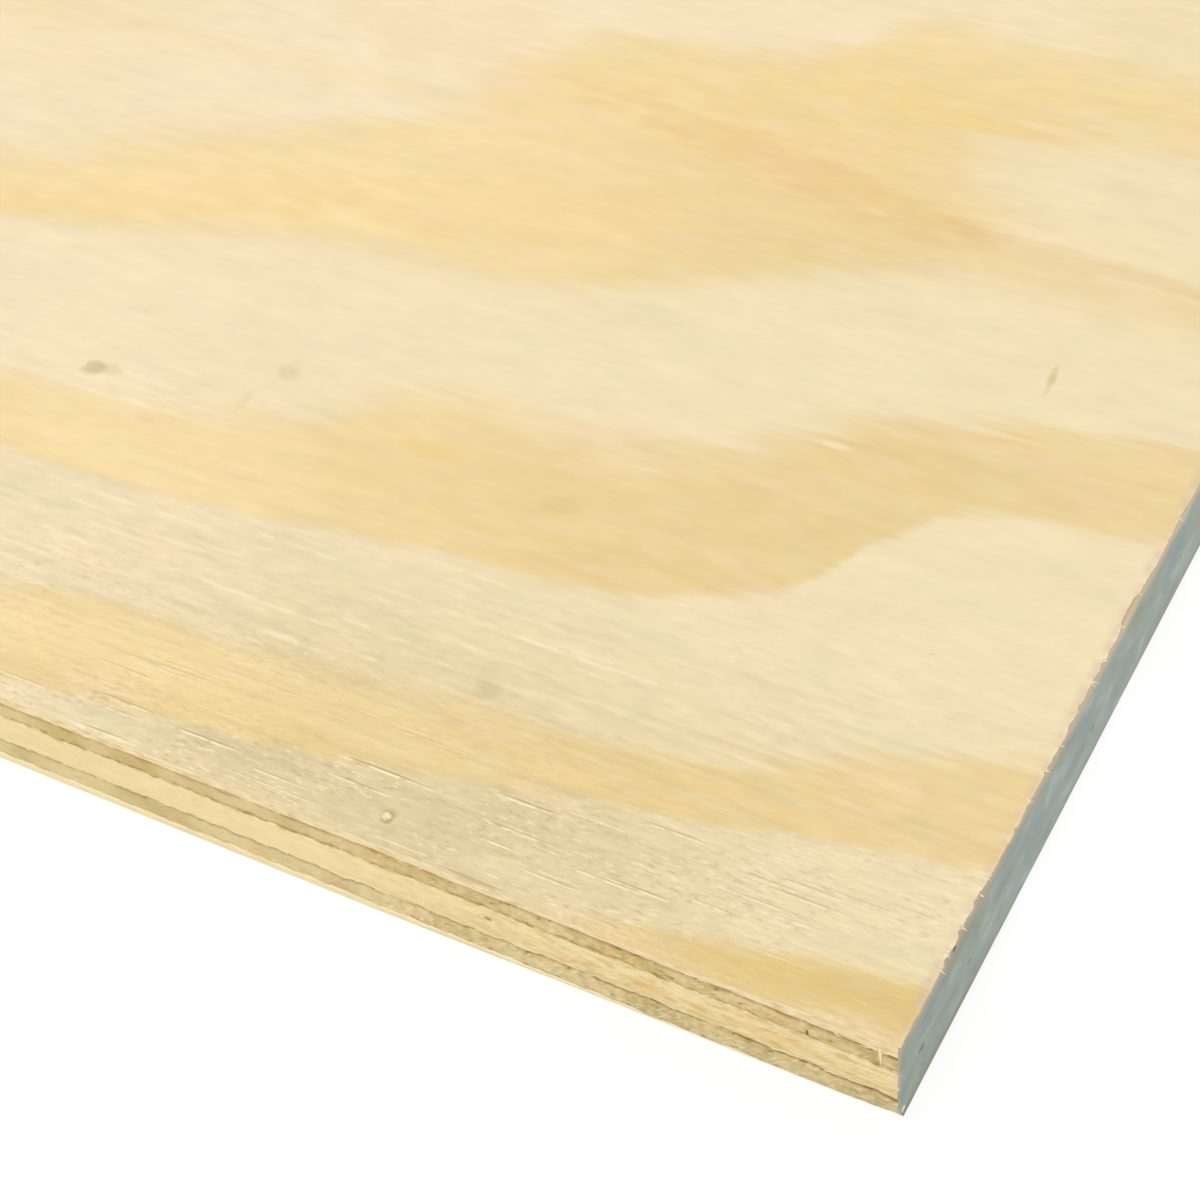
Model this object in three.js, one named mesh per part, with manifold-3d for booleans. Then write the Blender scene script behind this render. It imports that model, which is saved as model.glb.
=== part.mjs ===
// A full sheet of five-ply softwood plywood, 2440 x 1220 x 12 mm, lying face up.
//
// Five peeled veneers are glued up crosswise: face, core and back run with the sheet's length,
// and the two crossbands run across it. Every veneer is one flat plate that meets its neighbours
// face to face. The sheet's outer long and short arrises are slightly eased, as sanding leaves them.
//
// Frame: millimetres, +Z up. The origin is on the underside, at the sheet's centre.
// +X runs with the face grain, along the length. +Y runs across the width.

import * as THREE from 'three';
import { mergeVertices } from 'three/addons/utils/BufferGeometryUtils.js';
import Module from 'manifold-3d';

// Driving dimensions, millimetres
const sheetLength = 2440;             // with the face grain
const sheetWidth = 1220;              // across the face grain
const faceThickness = 1.75;           // sanded on its show side
const upperCrossbandThickness = 2.25;
const coreThickness = 4.25;
const lowerCrossbandThickness = 2.5;
const backThickness = 1.25;           // sanded thinner than the face
const faceArrisRadius = 0.4;          // the top edges, eased by the sander
const backArrisRadius = 0.3;          // the bottom edges
const arrisSegments = 6;              // facets round each eased edge

const wasm = await Module();
wasm.setup();

// The layup, from the underside up. A veneer with an outer arris names its radius.
const layup = [
  { name: 'back_veneer', thickness: backThickness, lowerRadius: backArrisRadius,
    color: '#ecdcae', roughness: 0.72 },
  { name: 'lower_crossband', thickness: lowerCrossbandThickness,
    color: '#cfbf93', roughness: 0.86 },
  { name: 'core_veneer', thickness: coreThickness,
    color: '#eed7a5', roughness: 0.8 },
  { name: 'upper_crossband', thickness: upperCrossbandThickness,
    color: '#c9b27c', roughness: 0.86 },
  { name: 'face_veneer', thickness: faceThickness, upperRadius: faceArrisRadius,
    color: '#efdfb4', roughness: 0.62 },
];

// An arris can take at most half of its veneer's thickness.
function easedRadius(radius, thickness) {
  return Math.min(radius, thickness / 2);
}

// The veneer's section across one pair of edges: a rectangle whose lower or upper corners may be
// quarter rounds. Horizontal is the distance from the sheet's middle, vertical is the height.
function veneerSection(span, bottom, top, lowerRadius, upperRadius) {
  const edge = span / 2;
  const section = new THREE.Shape();
  section.moveTo(-edge + lowerRadius, bottom);
  section.lineTo(edge - lowerRadius, bottom);
  if (lowerRadius > 0) {
    section.absarc(edge - lowerRadius, bottom + lowerRadius, lowerRadius, -Math.PI / 2, 0, false);
  }
  section.lineTo(edge, top - upperRadius);
  if (upperRadius > 0) {
    section.absarc(edge - upperRadius, top - upperRadius, upperRadius, 0, Math.PI / 2, false);
  }
  section.lineTo(-edge + upperRadius, top);
  if (upperRadius > 0) {
    section.absarc(-edge + upperRadius, top - upperRadius, upperRadius,
      Math.PI / 2, Math.PI, false);
  }
  section.lineTo(-edge, bottom + lowerRadius);
  if (lowerRadius > 0) {
    section.absarc(-edge + lowerRadius, bottom + lowerRadius, lowerRadius,
      Math.PI, 1.5 * Math.PI, false);
  }
  section.closePath();
  return section;
}

// A closed solid from a section extruded over a run and laid out by the given axes.
function extrudedSolid(section, run, sectionAxis, runAxis) {
  const geometry = new THREE.ExtrudeGeometry(section, {
    depth: run,
    bevelEnabled: false,
    curveSegments: arrisSegments,
  });
  geometry.translate(0, 0, -run / 2);
  const up = new THREE.Vector3(0, 0, 1);
  geometry.applyMatrix4(new THREE.Matrix4().makeBasis(sectionAxis, up, runAxis));
  geometry.deleteAttribute('normal');
  geometry.deleteAttribute('uv');
  const merged = mergeVertices(geometry, 1e-5);
  return new wasm.Manifold(new wasm.Mesh({
    numProp: 3,
    vertProperties: new Float32Array(merged.getAttribute('position').array),
    triVerts: new Uint32Array(merged.getIndex().array),
  }));
}

function solidToGeometry(solid) {
  const mesh = solid.getMesh();
  const geometry = new THREE.BufferGeometry();
  geometry.setAttribute('position', new THREE.BufferAttribute(mesh.vertProperties, 3));
  geometry.setIndex(new THREE.BufferAttribute(mesh.triVerts, 1));
  geometry.computeVertexNormals();
  return geometry;
}

// One veneer: the section across the width run along the length, cut to the section across the
// length run over the width, so that eased edges meet in a mitre at the sheet's corners.
function veneerGeometry(bottom, top, lowerRadius, upperRadius) {
  const xAxis = new THREE.Vector3(1, 0, 0);
  const yAxis = new THREE.Vector3(0, 1, 0);
  const alongLength = extrudedSolid(
    veneerSection(sheetWidth, bottom, top, lowerRadius, upperRadius), sheetLength, yAxis, xAxis);
  const acrossWidth = extrudedSolid(
    veneerSection(sheetLength, bottom, top, lowerRadius, upperRadius), sheetWidth,
    xAxis, yAxis.clone().negate());
  return solidToGeometry(alongLength.intersect(acrossWidth));
}

const sheet = new THREE.Group();
sheet.name = 'plywood_sheet';

let glueLine = 0;
for (const veneer of layup) {
  const bottom = glueLine;
  const top = bottom + veneer.thickness;
  const geometry = veneerGeometry(bottom, top,
    easedRadius(veneer.lowerRadius ?? 0, veneer.thickness),
    easedRadius(veneer.upperRadius ?? 0, veneer.thickness));
  const material = new THREE.MeshStandardMaterial({
    color: veneer.color,
    roughness: veneer.roughness,
    metalness: 0,
  });
  const plate = new THREE.Mesh(geometry, material);
  plate.name = veneer.name;
  sheet.add(plate);
  glueLine = top;
}

export default sheet;
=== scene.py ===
"""A full sheet of five-ply softwood plywood, laid up veneer by veneer from its underside.

Places are in millimetres until a mesh is made: u runs inwards from the sheet's right end, v runs
back from its front edge and z is the height above the floor. The face grain runs along u.
"""
import math
import random

import bmesh
import bpy
import numpy as np
from mathutils import Matrix, Vector, noise


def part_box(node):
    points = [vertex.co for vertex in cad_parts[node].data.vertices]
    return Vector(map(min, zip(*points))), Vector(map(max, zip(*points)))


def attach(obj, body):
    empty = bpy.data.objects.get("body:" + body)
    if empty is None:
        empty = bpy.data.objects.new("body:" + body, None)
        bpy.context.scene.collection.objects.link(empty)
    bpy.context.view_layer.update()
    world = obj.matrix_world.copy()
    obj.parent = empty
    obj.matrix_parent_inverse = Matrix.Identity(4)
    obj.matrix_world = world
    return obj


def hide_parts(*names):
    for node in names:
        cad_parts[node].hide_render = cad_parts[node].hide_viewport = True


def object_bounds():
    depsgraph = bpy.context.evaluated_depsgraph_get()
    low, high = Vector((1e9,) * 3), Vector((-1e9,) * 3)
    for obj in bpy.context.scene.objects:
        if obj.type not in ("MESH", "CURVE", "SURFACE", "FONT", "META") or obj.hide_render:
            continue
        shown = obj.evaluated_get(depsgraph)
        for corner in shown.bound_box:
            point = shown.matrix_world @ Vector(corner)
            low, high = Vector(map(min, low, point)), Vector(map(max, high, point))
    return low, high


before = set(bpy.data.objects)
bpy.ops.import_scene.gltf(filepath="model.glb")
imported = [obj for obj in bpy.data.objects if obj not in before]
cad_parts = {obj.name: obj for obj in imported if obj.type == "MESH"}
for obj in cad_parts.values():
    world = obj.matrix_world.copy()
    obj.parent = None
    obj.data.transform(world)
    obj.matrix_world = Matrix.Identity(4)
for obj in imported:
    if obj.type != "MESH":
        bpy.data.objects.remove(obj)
cad_low, cad_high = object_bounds()


# ---- Camera --------------------------------------------------------
# A close three-quarter view of the sheet's front right corner, looking down on its face. The eye
# is placed by its distance from that corner, in metres.

eye_from_corner = Vector((0.046342, -0.109081, 0.185406))
eye_azimuth = math.radians(33.4065)
eye_elevation = math.radians(44.6768)
eye_roll = math.radians(-6.6495)


def put(name, data):
    """A new object in the scene."""
    thing = bpy.data.objects.new(name, data)
    bpy.context.scene.collection.objects.link(thing)
    return thing


eye = put("eye", bpy.data.cameras.new("eye"))
eye.data.lens = 71.07
eye.data.sensor_width = 36
eye.data.clip_start = 0.01
eye.location = Vector((cad_high.x, cad_low.y, cad_low.z)) + eye_from_corner
turned = Matrix.Rotation(eye_azimuth, 3, "Z")
tipped = Matrix.Rotation(math.pi / 2 - eye_elevation, 3, "X")
rolled = Matrix.Rotation(eye_roll, 3, "Z")
eye.rotation_euler = (turned @ tipped @ rolled).to_euler()
bpy.context.scene.camera = eye


# ---- Back veneer ---------------------------------------------------
# The underside: one thin veneer of pine, peeled from a turning log, dried and laid with its grain
# along the sheet. Its lower arris is eased by sanding, and knocked round near the front corner.

mm = 0.001
right_end = cad_high.x / mm
left_end = cad_low.x / mm
front_edge = cad_low.y / mm
back_edge = cad_high.y / mm
sheet_top = cad_high.z / mm
sheet_length = right_end - left_end
sheet_width = back_edge - front_edge
lower_arris = 0.3
fine_run = 110.0


def marks_along(run, finest, even_run=0.0, coarsest=8.0, growth=1.06):
    """Shares of a run: marks lie close together over its first stretch, then spread out."""
    marks = [0.0]
    step = finest
    while marks[-1] < run:
        if marks[-1] > even_run:
            step = min(step * growth, coarsest)
        marks.append(marks[-1] + step)
    return np.array(marks) / marks[-1]


def side_marks(finest, coarsest, growth):
    """Marks for the right end, back edge, left end and front edge, in that order round the sheet.
    They lie closest near the front right corner."""
    right = marks_along(sheet_width, finest, fine_run, coarsest, growth)
    back = marks_along(sheet_length, coarsest)
    left = marks_along(sheet_width, coarsest)
    front = 1 - marks_along(sheet_length, finest, fine_run, coarsest, growth)[::-1]
    return [right, back, left, front]


def loop_round(marks, inset):
    """Points round the sheet at a distance in from its sides. Each comes with its way out from
    back to front: 1 on the back edge, -1 on the front edge and 0 elsewhere."""
    right, left = right_end - inset, left_end + inset
    front, back = front_edge + inset, back_edge - inset
    corners = [Vector(c) for c in ((right, front), (right, back), (left, back), (left, front))]
    points = []
    for side, way_out in enumerate((0, 1, 0, -1)):
        start = corners[side]
        run = corners[(side + 1) % 4] - start
        for share in marks[side][:-1]:
            points.append((start + run * share, way_out if share > 0 else 0))
    return points


def sides_of(first, marks):
    """The vertex numbers of a loop that starts at the given number, side by side."""
    around = sum(len(side) - 1 for side in marks)
    sides = []
    begin = 0
    for side in marks:
        sides.append([first + (begin + step) % around for step in range(len(side))])
        begin += len(side) - 1
    return sides


def zip_sides(faces, outer, outer_marks, inner, inner_marks):
    """Triangles between lines that run side by side and have different numbers of points."""
    for out, out_marks, into, in_marks in zip(outer, outer_marks, inner, inner_marks):
        a, b = 0, 0
        while a + b < len(out) + len(into) - 2:
            out_left = a < len(out) - 1
            in_left = b < len(into) - 1
            if not in_left or out_left and out_marks[a + 1] <= in_marks[b + 1]:
                faces.append((out[a], out[a + 1], into[b]))
                a += 1
            else:
                faces.append((out[a], into[b + 1], into[b]))
                b += 1


def skin(rows, turned=False):
    """Four-sided faces between rows of vertex numbers that run side by side. Each face turns
    from the first row to the next, or the other way where the skin is turned."""
    faces = []
    for first, second in zip(rows, rows[1:]):
        for a, b, c, d in zip(first, first[1:], second[1:], second):
            faces.append((a, d, c, b) if turned else (a, b, c, d))
    return faces


def rings_from(first, around, count):
    """The vertex numbers of rings that follow one another, each coming back to its start."""
    return [
        [first + around * ring + step % around for step in range(around + 1)]
        for ring in range(count)
    ]


def close_face(points, faces, outer, outer_marks, height):
    """Closes a veneer's broad face with loops that get coarser inwards, round a plain grid."""
    for inset, finest, coarsest in ((3.0, 2.0, 30.0), (14.0, 9.0, 45.0)):
        marks = side_marks(finest, coarsest, 1.2)
        inner = sides_of(len(points), marks)
        points.extend((spot.x, spot.y, height) for spot, way_out in loop_round(marks, inset))
        zip_sides(faces, outer, outer_marks, inner, marks)
        outer, outer_marks = inner, marks
    margin = cell = 60.0
    xs = np.linspace(left_end + margin, right_end - margin, round(sheet_length / cell) + 1)
    ys = np.linspace(front_edge + margin, back_edge - margin, round(sheet_width / cell) + 1)
    rows = []
    for y in ys:
        rows.append(list(range(len(points), len(points) + len(xs))))
        points.extend((x, y, height) for x in xs)
    faces += skin(rows)
    inner = [[row[-1] for row in rows], rows[-1][::-1], [row[0] for row in rows[::-1]], rows[0]]
    even = [np.linspace(0, 1, len(side)) for side in inner]
    zip_sides(faces, outer, outer_marks, inner, even)


def edge_end(arris_radius):
    """The rows of an edge nearest one face of a veneer, as (height from that face, inset): a
    quarter round on the sheet's outside, or the lip of the fine groove at a glue line."""
    if not arris_radius:
        return [(0.0, 0.05), (0.08, 0.02), (0.18, 0.0)]
    turns = np.linspace(0, math.pi / 2, 6)
    return [(arris_radius * (1 - math.cos(t)), arris_radius * (1 - math.sin(t))) for t in turns]


def ripple(point, size, seed):
    """Smooth noise from -1 to 1 with humps about this size in millimetres."""
    return noise.noise(Vector((point.x / size, point.y / size, seed)))


def glue_line(below, seed, ragged, dip):
    """The height of the glue line on top of a veneer, along the sheet's sides. It wanders, because
    veneers vary in thickness, the saw leaves it ragged, and it dips towards the front right
    corner."""
    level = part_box(below)[1].z / mm
    waves = ((55, 0.26, 0), (9, 0.13, 3), (2.3, ragged, 7), (0.75, 0.6 * ragged, 9))

    def height(point):
        wander = sum(rise * ripple(point, size, seed + extra) for size, rise, extra in waves)
        u = right_end - point.x
        v = point.y - front_edge
        near_corner = 0.75 * math.exp(-u / 25) + 0.25 * math.exp(-u / 2)
        return level + wander - dip * near_corner * math.exp(-v / 8)

    return height


worn_depth = 0.85
worn_length = 60.0
worn_width = 2.5


def worn_back(x, y, z):
    """How far a point by the front edge is worn back. The lower arris has been knocked round near
    the front right corner, most of all at the corner itself."""
    u = max(right_end - x, 0.0)
    v = y - front_edge
    share = max(1 - (u / worn_length) ** 1.6, 0.0)
    worn_height = lower_arris + share * (1.0 + math.exp(-u / 2.5))
    low_down = max(1 - z / worn_height, 0.0) ** 2
    return worn_depth * share * low_down * max(1 - v / worn_width, 0.0)


def made_piece(name, points, faces, turn_out=False):
    """A smooth object from places in millimetres, riding with the sheet. Where the faces don't
    all look outwards yet, turn_out turns them."""
    mesh = bpy.data.meshes.new(name)
    mesh.from_pydata([(x * mm, y * mm, z * mm) for x, y, z in points], [], faces)
    if turn_out:
        shell = bmesh.new()
        shell.from_mesh(mesh)
        bmesh.ops.recalc_face_normals(shell, faces=shell.faces)
        shell.to_mesh(mesh)
        shell.free()
    mesh.shade_smooth()
    piece = put(name, mesh)
    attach(piece, "root")
    return piece


far_away = 9.0


def keep_distances(piece, name, values):
    """Stores a distance in millimetres at each point of a mesh, for its finish to read. Points
    past the end of the list are far from everything."""
    values = values + [far_away] * (len(piece.data.vertices) - len(values))
    piece.data.attributes.new(name, "FLOAT", "POINT").data.foreach_set("value", values)


def veneer(name, lower, upper, lower_radius=0.0, upper_radius=0.0, sawn_relief=(0.03, 3.0, 0.4)):
    """One veneer as a closed plate whose edges follow the glue lines. lower and upper give the
    heights of its two faces at a point, and the radii are those of its eased arrises. sawn_relief
    is the depth, length and height of the marks that sawing leaves on its long edges. The mesh
    keeps how far each point of an edge is above its lower face and below its upper one."""
    flat_low, flat_high = (corner.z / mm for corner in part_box(name))
    marks = side_marks(0.25, 7.0, 1.05)
    low_rows = edge_end(lower_radius)
    high_rows = edge_end(upper_radius)
    low_height = low_rows[-1][0]
    high_height = high_rows[-1][0]
    row_height = 0.4
    middle_rows = max(1, round((flat_high - flat_low - low_height - high_height) / row_height))
    shape = [(inset, 0.0, rise - low_height) for rise, inset in low_rows]
    shape += [(0.0, step / middle_rows, 0.0) for step in range(1, middle_rows)]
    shape += [(inset, 1.0, high_height - drop) for drop, inset in reversed(high_rows)]
    relief_depth, relief_length, relief_height = sawn_relief
    points = []
    above_glue = []
    below_glue = []
    for inset, share, lift in shape:
        for spot, way_out in loop_round(marks, inset):
            low, high = lower(spot), upper(spot)
            bottom = low + low_height
            top = high - high_height
            z = bottom + (top - bottom) * share + lift
            bump = relief_depth * ripple(spot, relief_length, z / relief_height)
            bump += 0.5 * relief_depth * ripple(spot, 0.8, z / 0.5 + 40)
            points.append((spot.x, spot.y + way_out * bump + worn_back(spot.x, spot.y, z), z))
            above_glue.append(z - low)
            below_glue.append(high - z)

    rows = rings_from(0, len(points) // len(shape), len(shape))
    faces = skin(rows)
    close_face(points, faces, sides_of(rows[-1][0], marks), marks, flat_high)
    bottom_faces = []
    close_face(points, bottom_faces, sides_of(0, marks), marks, flat_low)
    faces += [face[::-1] for face in bottom_faces]
    piece = made_piece(name + "_detailed", points, faces)
    keep_distances(piece, "above_glue", above_glue)
    keep_distances(piece, "below_glue", below_glue)
    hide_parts(name)
    return piece


def from_hex(colour):
    """A colour written as #rrggbb, as the linear numbers that Blender's sockets take."""
    shares = [int(colour[i:i + 2], 16) / 255 for i in (1, 3, 5)]
    return [s / 12.92 if s <= 0.04045 else ((s + 0.055) / 1.055) ** 2.4 for s in shares] + [1.0]


class Reading:
    """A number read off the surface, different at each point. Sums of readings make nodes."""

    def __init__(self, finish, socket):
        self.finish = finish
        self.socket = socket

    def worked(self, operation, *others):
        node = self.finish.add("Math", {0: self, **dict(enumerate(others, 1))}, operation=operation)
        return Reading(self.finish, node.outputs[0])

    def __add__(self, other):
        return self.worked("ADD", other)

    def __sub__(self, other):
        return self.worked("SUBTRACT", other)

    def __rsub__(self, other):
        return (self * -1.0) + other

    def __mul__(self, other):
        return self.worked("MULTIPLY", other)

    def __truediv__(self, other):
        return self.worked("DIVIDE", other)

    def larger(self, other):
        return self.worked("MAXIMUM", other)

    def rise(self, start, end):
        """0 below start, 1 above end and smooth between them."""
        sockets = {"Value": self, "From Min": start, "From Max": end}
        node = self.finish.add("MapRange", sockets, interpolation_type="SMOOTHSTEP")
        return Reading(self.finish, node.outputs[0])

    def fall(self, start, end):
        """1 below start, 0 above end and smooth between them."""
        return 1.0 - self.rise(start, end)


def add_node(tree, kind, sockets=None, **settings):
    """A new shader node. Its sockets, by name or number, take numbers, colours or other nodes'
    outputs."""
    node = tree.nodes.new("ShaderNode" + kind)
    for setting, value in settings.items():
        setattr(node, setting, value)
    for socket, value in (sockets or {}).items():
        feed(tree, node.inputs[socket], value)
    return node


def feed(tree, socket, value):
    """Joins a socket to an output, or sets a number or colour on the socket itself."""
    if isinstance(value, Reading):
        value = value.socket
    if isinstance(value, bpy.types.NodeSocket):
        tree.links.new(value, socket)
    elif socket.type == "VECTOR":
        socket.default_value = value[:3]
    else:
        socket.default_value = value


class Finish:
    """A surface built up in layers on a Principled shader, with places in millimetres."""

    def __init__(self, name, base):
        self.material = bpy.data.materials.new(name)
        self.material.use_nodes = True
        self.tree = self.material.node_tree
        self.shader = self.tree.nodes["Principled BSDF"]
        here = self.add("TexCoord").outputs["Object"]
        in_mm = self.add("VectorMath", {0: here, "Scale": 1 / mm}, operation="SCALE")
        split = self.add("SeparateXYZ", {0: in_mm.outputs[0]})
        self.u = right_end - Reading(self, split.outputs["X"])
        self.v = Reading(self, split.outputs["Y"]) - front_edge
        self.z = Reading(self, split.outputs["Z"])
        self.place = self.joined(self.u, self.v, self.z)
        self.edge_place = self.joined(self.u, self.z, self.v)
        self.colour = from_hex(base)
        self.height = None

    def add(self, kind, sockets=None, **settings):
        return add_node(self.tree, kind, sockets, **settings)

    def joined(self, x, y, z):
        return self.add("CombineXYZ", {"X": x, "Y": y, "Z": z}).outputs[0]

    def stored(self, name):
        return Reading(self, self.add("Attribute", attribute_name=name).outputs["Fac"])

    def grain(self, long, wide, deep=50.0, detail=2.0, seed=0.0, place=None):
        """Noise from 0 to 1 whose flecks are about this long, wide and deep."""
        sockets = {
            "Vector": place or self.place,
            "Location": (seed * 3.1, seed * 7.7, seed * 1.3),
            "Scale": (1 / long, 1 / wide, 1 / deep),
        }
        mapped = self.add("Mapping", sockets).outputs[0]
        noise_node = self.add("TexNoise", {"Vector": mapped, "Scale": 1.0, "Detail": detail})
        return Reading(self, noise_node.outputs[0])

    def edge_grain(self, long, high, detail=2.0, seed=0.0):
        """Noise whose flecks are about this long and high on an edge of the sheet."""
        return self.grain(long, high, long, detail, seed, self.edge_place)

    def along_curve(self, reading, points):
        """A height read off a smooth curve through (distance, height) points."""
        first, last = points[0][0], points[-1][0]
        low, high = -100.0, 300.0
        node = self.add("FloatCurve", {"Value": (reading - first) / (last - first)})
        curve = node.mapping.curves[0]
        places = [((d - first) / (last - first), (h - low) / (high - low)) for d, h in points]
        curve.points[0].location, curve.points[1].location = places[0], places[-1]
        for place in places[1:-1]:
            curve.points.new(*place)
        node.mapping.update()
        return Reading(self, node.outputs[0]) * (high - low) + low

    def spot(self, a, b, centre, half_size, blur, ragged=0.0):
        """1 inside an oval on the plane of readings a and b, 0 outside it."""
        across = (a - centre[0]) / half_size[0]
        up = (b - centre[1]) / half_size[1]
        return (across * across + up * up + ragged).fall(1 - blur, 1 + blur)

    def tint(self, colour, amount):
        """Lays a colour over what is there, by the given amount from 0 to 1."""
        layers = {0: amount, 6: self.colour, 7: from_hex(colour)}
        self.colour = self.add("Mix", layers, data_type="RGBA").outputs[2]

    def shade(self, amount):
        """Multiplies the colour by a number near 1."""
        node = self.add("VectorMath", {0: self.colour, "Scale": amount}, operation="SCALE")
        self.colour = node.outputs[0]

    def raise_up(self, height):
        """Adds a height in millimetres to the relief."""
        self.height = height if self.height is None else self.height + height

    def finished(self, roughness):
        feed(self.tree, self.shader.inputs["Base Color"], self.colour)
        feed(self.tree, self.shader.inputs["Roughness"], roughness)
        if self.height is not None:
            bump = self.add("Bump", {"Distance": mm, "Height": self.height})
            feed(self.tree, self.shader.inputs["Normal"], bump.outputs[0])
        return self.material


def growth_rings(finish, seed):
    """How yellow a peeled face is, from 0 in the spring wood to 1 in the summer wood. The knife
    circles a log that is neither straight nor true, so it cuts in and out of the rings."""
    round_log = 940.0
    off_centre = 11.0
    out_of_round = 3.4
    taper = 0.0042
    ring_width = 4.6
    bend = finish.grain(900, 420, detail=1.0, seed=seed) * 3.2
    turned = finish.v * (2 * math.pi / round_log) + bend
    swellings = finish.grain(420, 150, detail=1.0, seed=seed + 1) * 22
    fibres = finish.grain(26, 0.7, detail=1.0, seed=seed + 2) * 0.2
    depth = turned.worked("SINE") * off_centre
    depth = depth + (turned * 2.0 + 1.3).worked("SINE") * out_of_round
    depth = depth + finish.u * taper + swellings + fibres
    part = (depth / ring_width).worked("FRACT")
    reach = finish.grain(500, 160, detail=0.0, seed=seed + 3)
    summer = part.fall(reach * 0.5, reach * 0.6 + 0.42)
    return summer * part.rise(0.0, 0.035)


def glue_seam(finish, side, colour, width, length, gaps, seed, strength=0.7):
    """Glue and dark pits: a line beside a seam, in dashes about this long. side is the stored
    distance from the glue, and gaps, from 0 to 1, is how much of the seam stays clean."""
    distance = finish.stored(side)
    dashes = finish.edge_grain(length, 9.0, seed=seed)
    edge = dashes * (width * 2)
    line = distance.fall(0.0, edge)
    finish.tint(colour, line * dashes.rise(gaps - 0.15, gaps + 0.15) * strength)


def seam_lip_highlight(finish, side, colour, seed):
    """A painted highlight on fibres that the saw bent up beside a seam, where they catch the light.
    """
    distance = finish.stored(side)
    tufts = finish.edge_grain(2.2, 0.6, seed=seed)
    close = distance.rise(0.04, 0.12) * distance.fall(0.2, 0.42)
    finish.tint(colour, close * tufts.rise(0.4, 0.62) * 0.8)


def saw_marks(finish, colour, seed, amount):
    """Short bright scratches that the saw's teeth left, all leaning one way."""
    lean = math.radians(40)
    along = finish.z * math.sin(lean) - finish.u * math.cos(lean)
    over = finish.z * math.cos(lean) + finish.u * math.sin(lean)
    slanted = finish.joined(along, over, finish.v)
    marks = finish.grain(1.6, 0.32, 1.6, detail=1.0, seed=seed, place=slanted)
    strength = (finish.u.fall(35, 90) * 0.8 + 0.2) * amount
    finish.tint(colour, marks.rise(0.58, 0.7) * strength)
    finish.shade((marks - 0.5) * strength * 0.28 + 1.0)


def long_grain_edge(finish, seed):
    """Streaks along the sheet and softer patches, on an edge sawn along the grain. Both are
    strongest by the corner."""
    near = finish.u.fall(40, 100) * 0.7 + 0.3
    streaks = finish.edge_grain(4.0, 0.5, seed=seed)
    patches = finish.edge_grain(2.4, 1.5, detail=3.0, seed=seed + 1)
    finish.shade((streaks - 0.5) * near * 0.16 + (patches - 0.5) * 0.24 + 1.0)
    return streaks


back_top = glue_line("back_veneer", seed=11, ragged=0.16, dip=0.8)
back = veneer("back_veneer", lambda spot: 0.0, back_top, lower_radius=lower_arris)
back_wood = Finish("peeled_back_veneer", "#ebdaaf")
back_wood.tint("#dcc188", growth_rings(back_wood, 60) * 0.8)
back_fibres = back_wood.grain(9, 0.3, seed=5)
back_wood.shade((back_fibres - 0.5) * 0.16 + 1.0)
back_wood.tint("#e9d8a8", back_wood.z.rise(0.0, 0.12))
long_grain_edge(back_wood, 21)
seam_lip_highlight(back_wood, "below_glue", "#f7e6bc", 22)
back_wood.raise_up(back_fibres * 0.05)
back.data.materials.append(back_wood.finished(0.7))


# ---- Lower crossband -----------------------------------------------
# The veneer between back and core, laid across the sheet, so that the long edges show its sawn
# end grain: greyish tan, in patches, with pits and torn fibres. Glue holds it on both faces.

def end_grain(finish, dark, light, seed):
    """Sawn end grain on the long edges: patches with upright sides, fine upright streaks where
    the saw dragged, pits, and flecks of torn fibre."""
    patches = finish.edge_grain(7, 14, detail=1.0, seed=seed)
    finish.tint(dark, patches.rise(0.45, 0.65) * 0.5)
    finish.tint(light, patches.fall(0.32, 0.52) * 0.55)
    rough = finish.u.fall(30, 80) * 0.8 + 0.2
    drags = finish.edge_grain(0.6, 2.4, seed=seed + 1)
    finish.shade((drags - 0.5) * rough * 0.4 + 1.0)
    pits = finish.edge_grain(1.1, 0.7, seed=seed + 2)
    finish.tint(light, pits.fall(0.34, 0.5) * rough * 0.7)
    finish.tint(dark, pits.rise(0.5, 0.66) * rough * 0.5)
    above, below = finish.stored("above_glue"), finish.stored("below_glue")
    by_glue = above.worked("MINIMUM", below).fall(0.1, 0.6)
    finish.tint("#7a5c30", (pits + by_glue * 0.1).rise(0.66, 0.74) * rough * 0.6)
    finish.raise_up(drags * 0.06 - pits.rise(0.6, 0.8) * 0.06)


core_bottom = glue_line("lower_crossband", seed=23, ragged=0.32, dip=0.1)
lower_band = veneer("lower_crossband", back_top, core_bottom, sawn_relief=(0.1, 1.1, 0.7))
lower_wood = Finish("sawn_lower_crossband", "#dcc893")
end_grain(lower_wood, "#b9a36b", "#e3cf9d", 70)
# Darker overall, and painted shade towards the front right corner, where the light falls off.
lower_wood.shade(0.95 - lower_wood.u.fall(8, 60) * 0.05)
saw_marks(lower_wood, "#eee0bb", 73, 0.42)
by_corner = lower_wood.u.fall(8, 45)
glue_seam(lower_wood, "below_glue", "#8c6c38", 0.5, 3.2, 0.42, 33, by_corner * 0.4 + 0.5)
glue_seam(lower_wood, "above_glue", "#a58e5e", 0.4, 2.2, 0.5, 34, 0.5)
lower_band.data.materials.append(lower_wood.finished(0.85))


# ---- Core veneer ---------------------------------------------------
# The thick middle veneer, its grain along the sheet like the face, so that the long edges show
# it as a smooth pale band. Resin has stained it orange in a few places near the corner.

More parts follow.
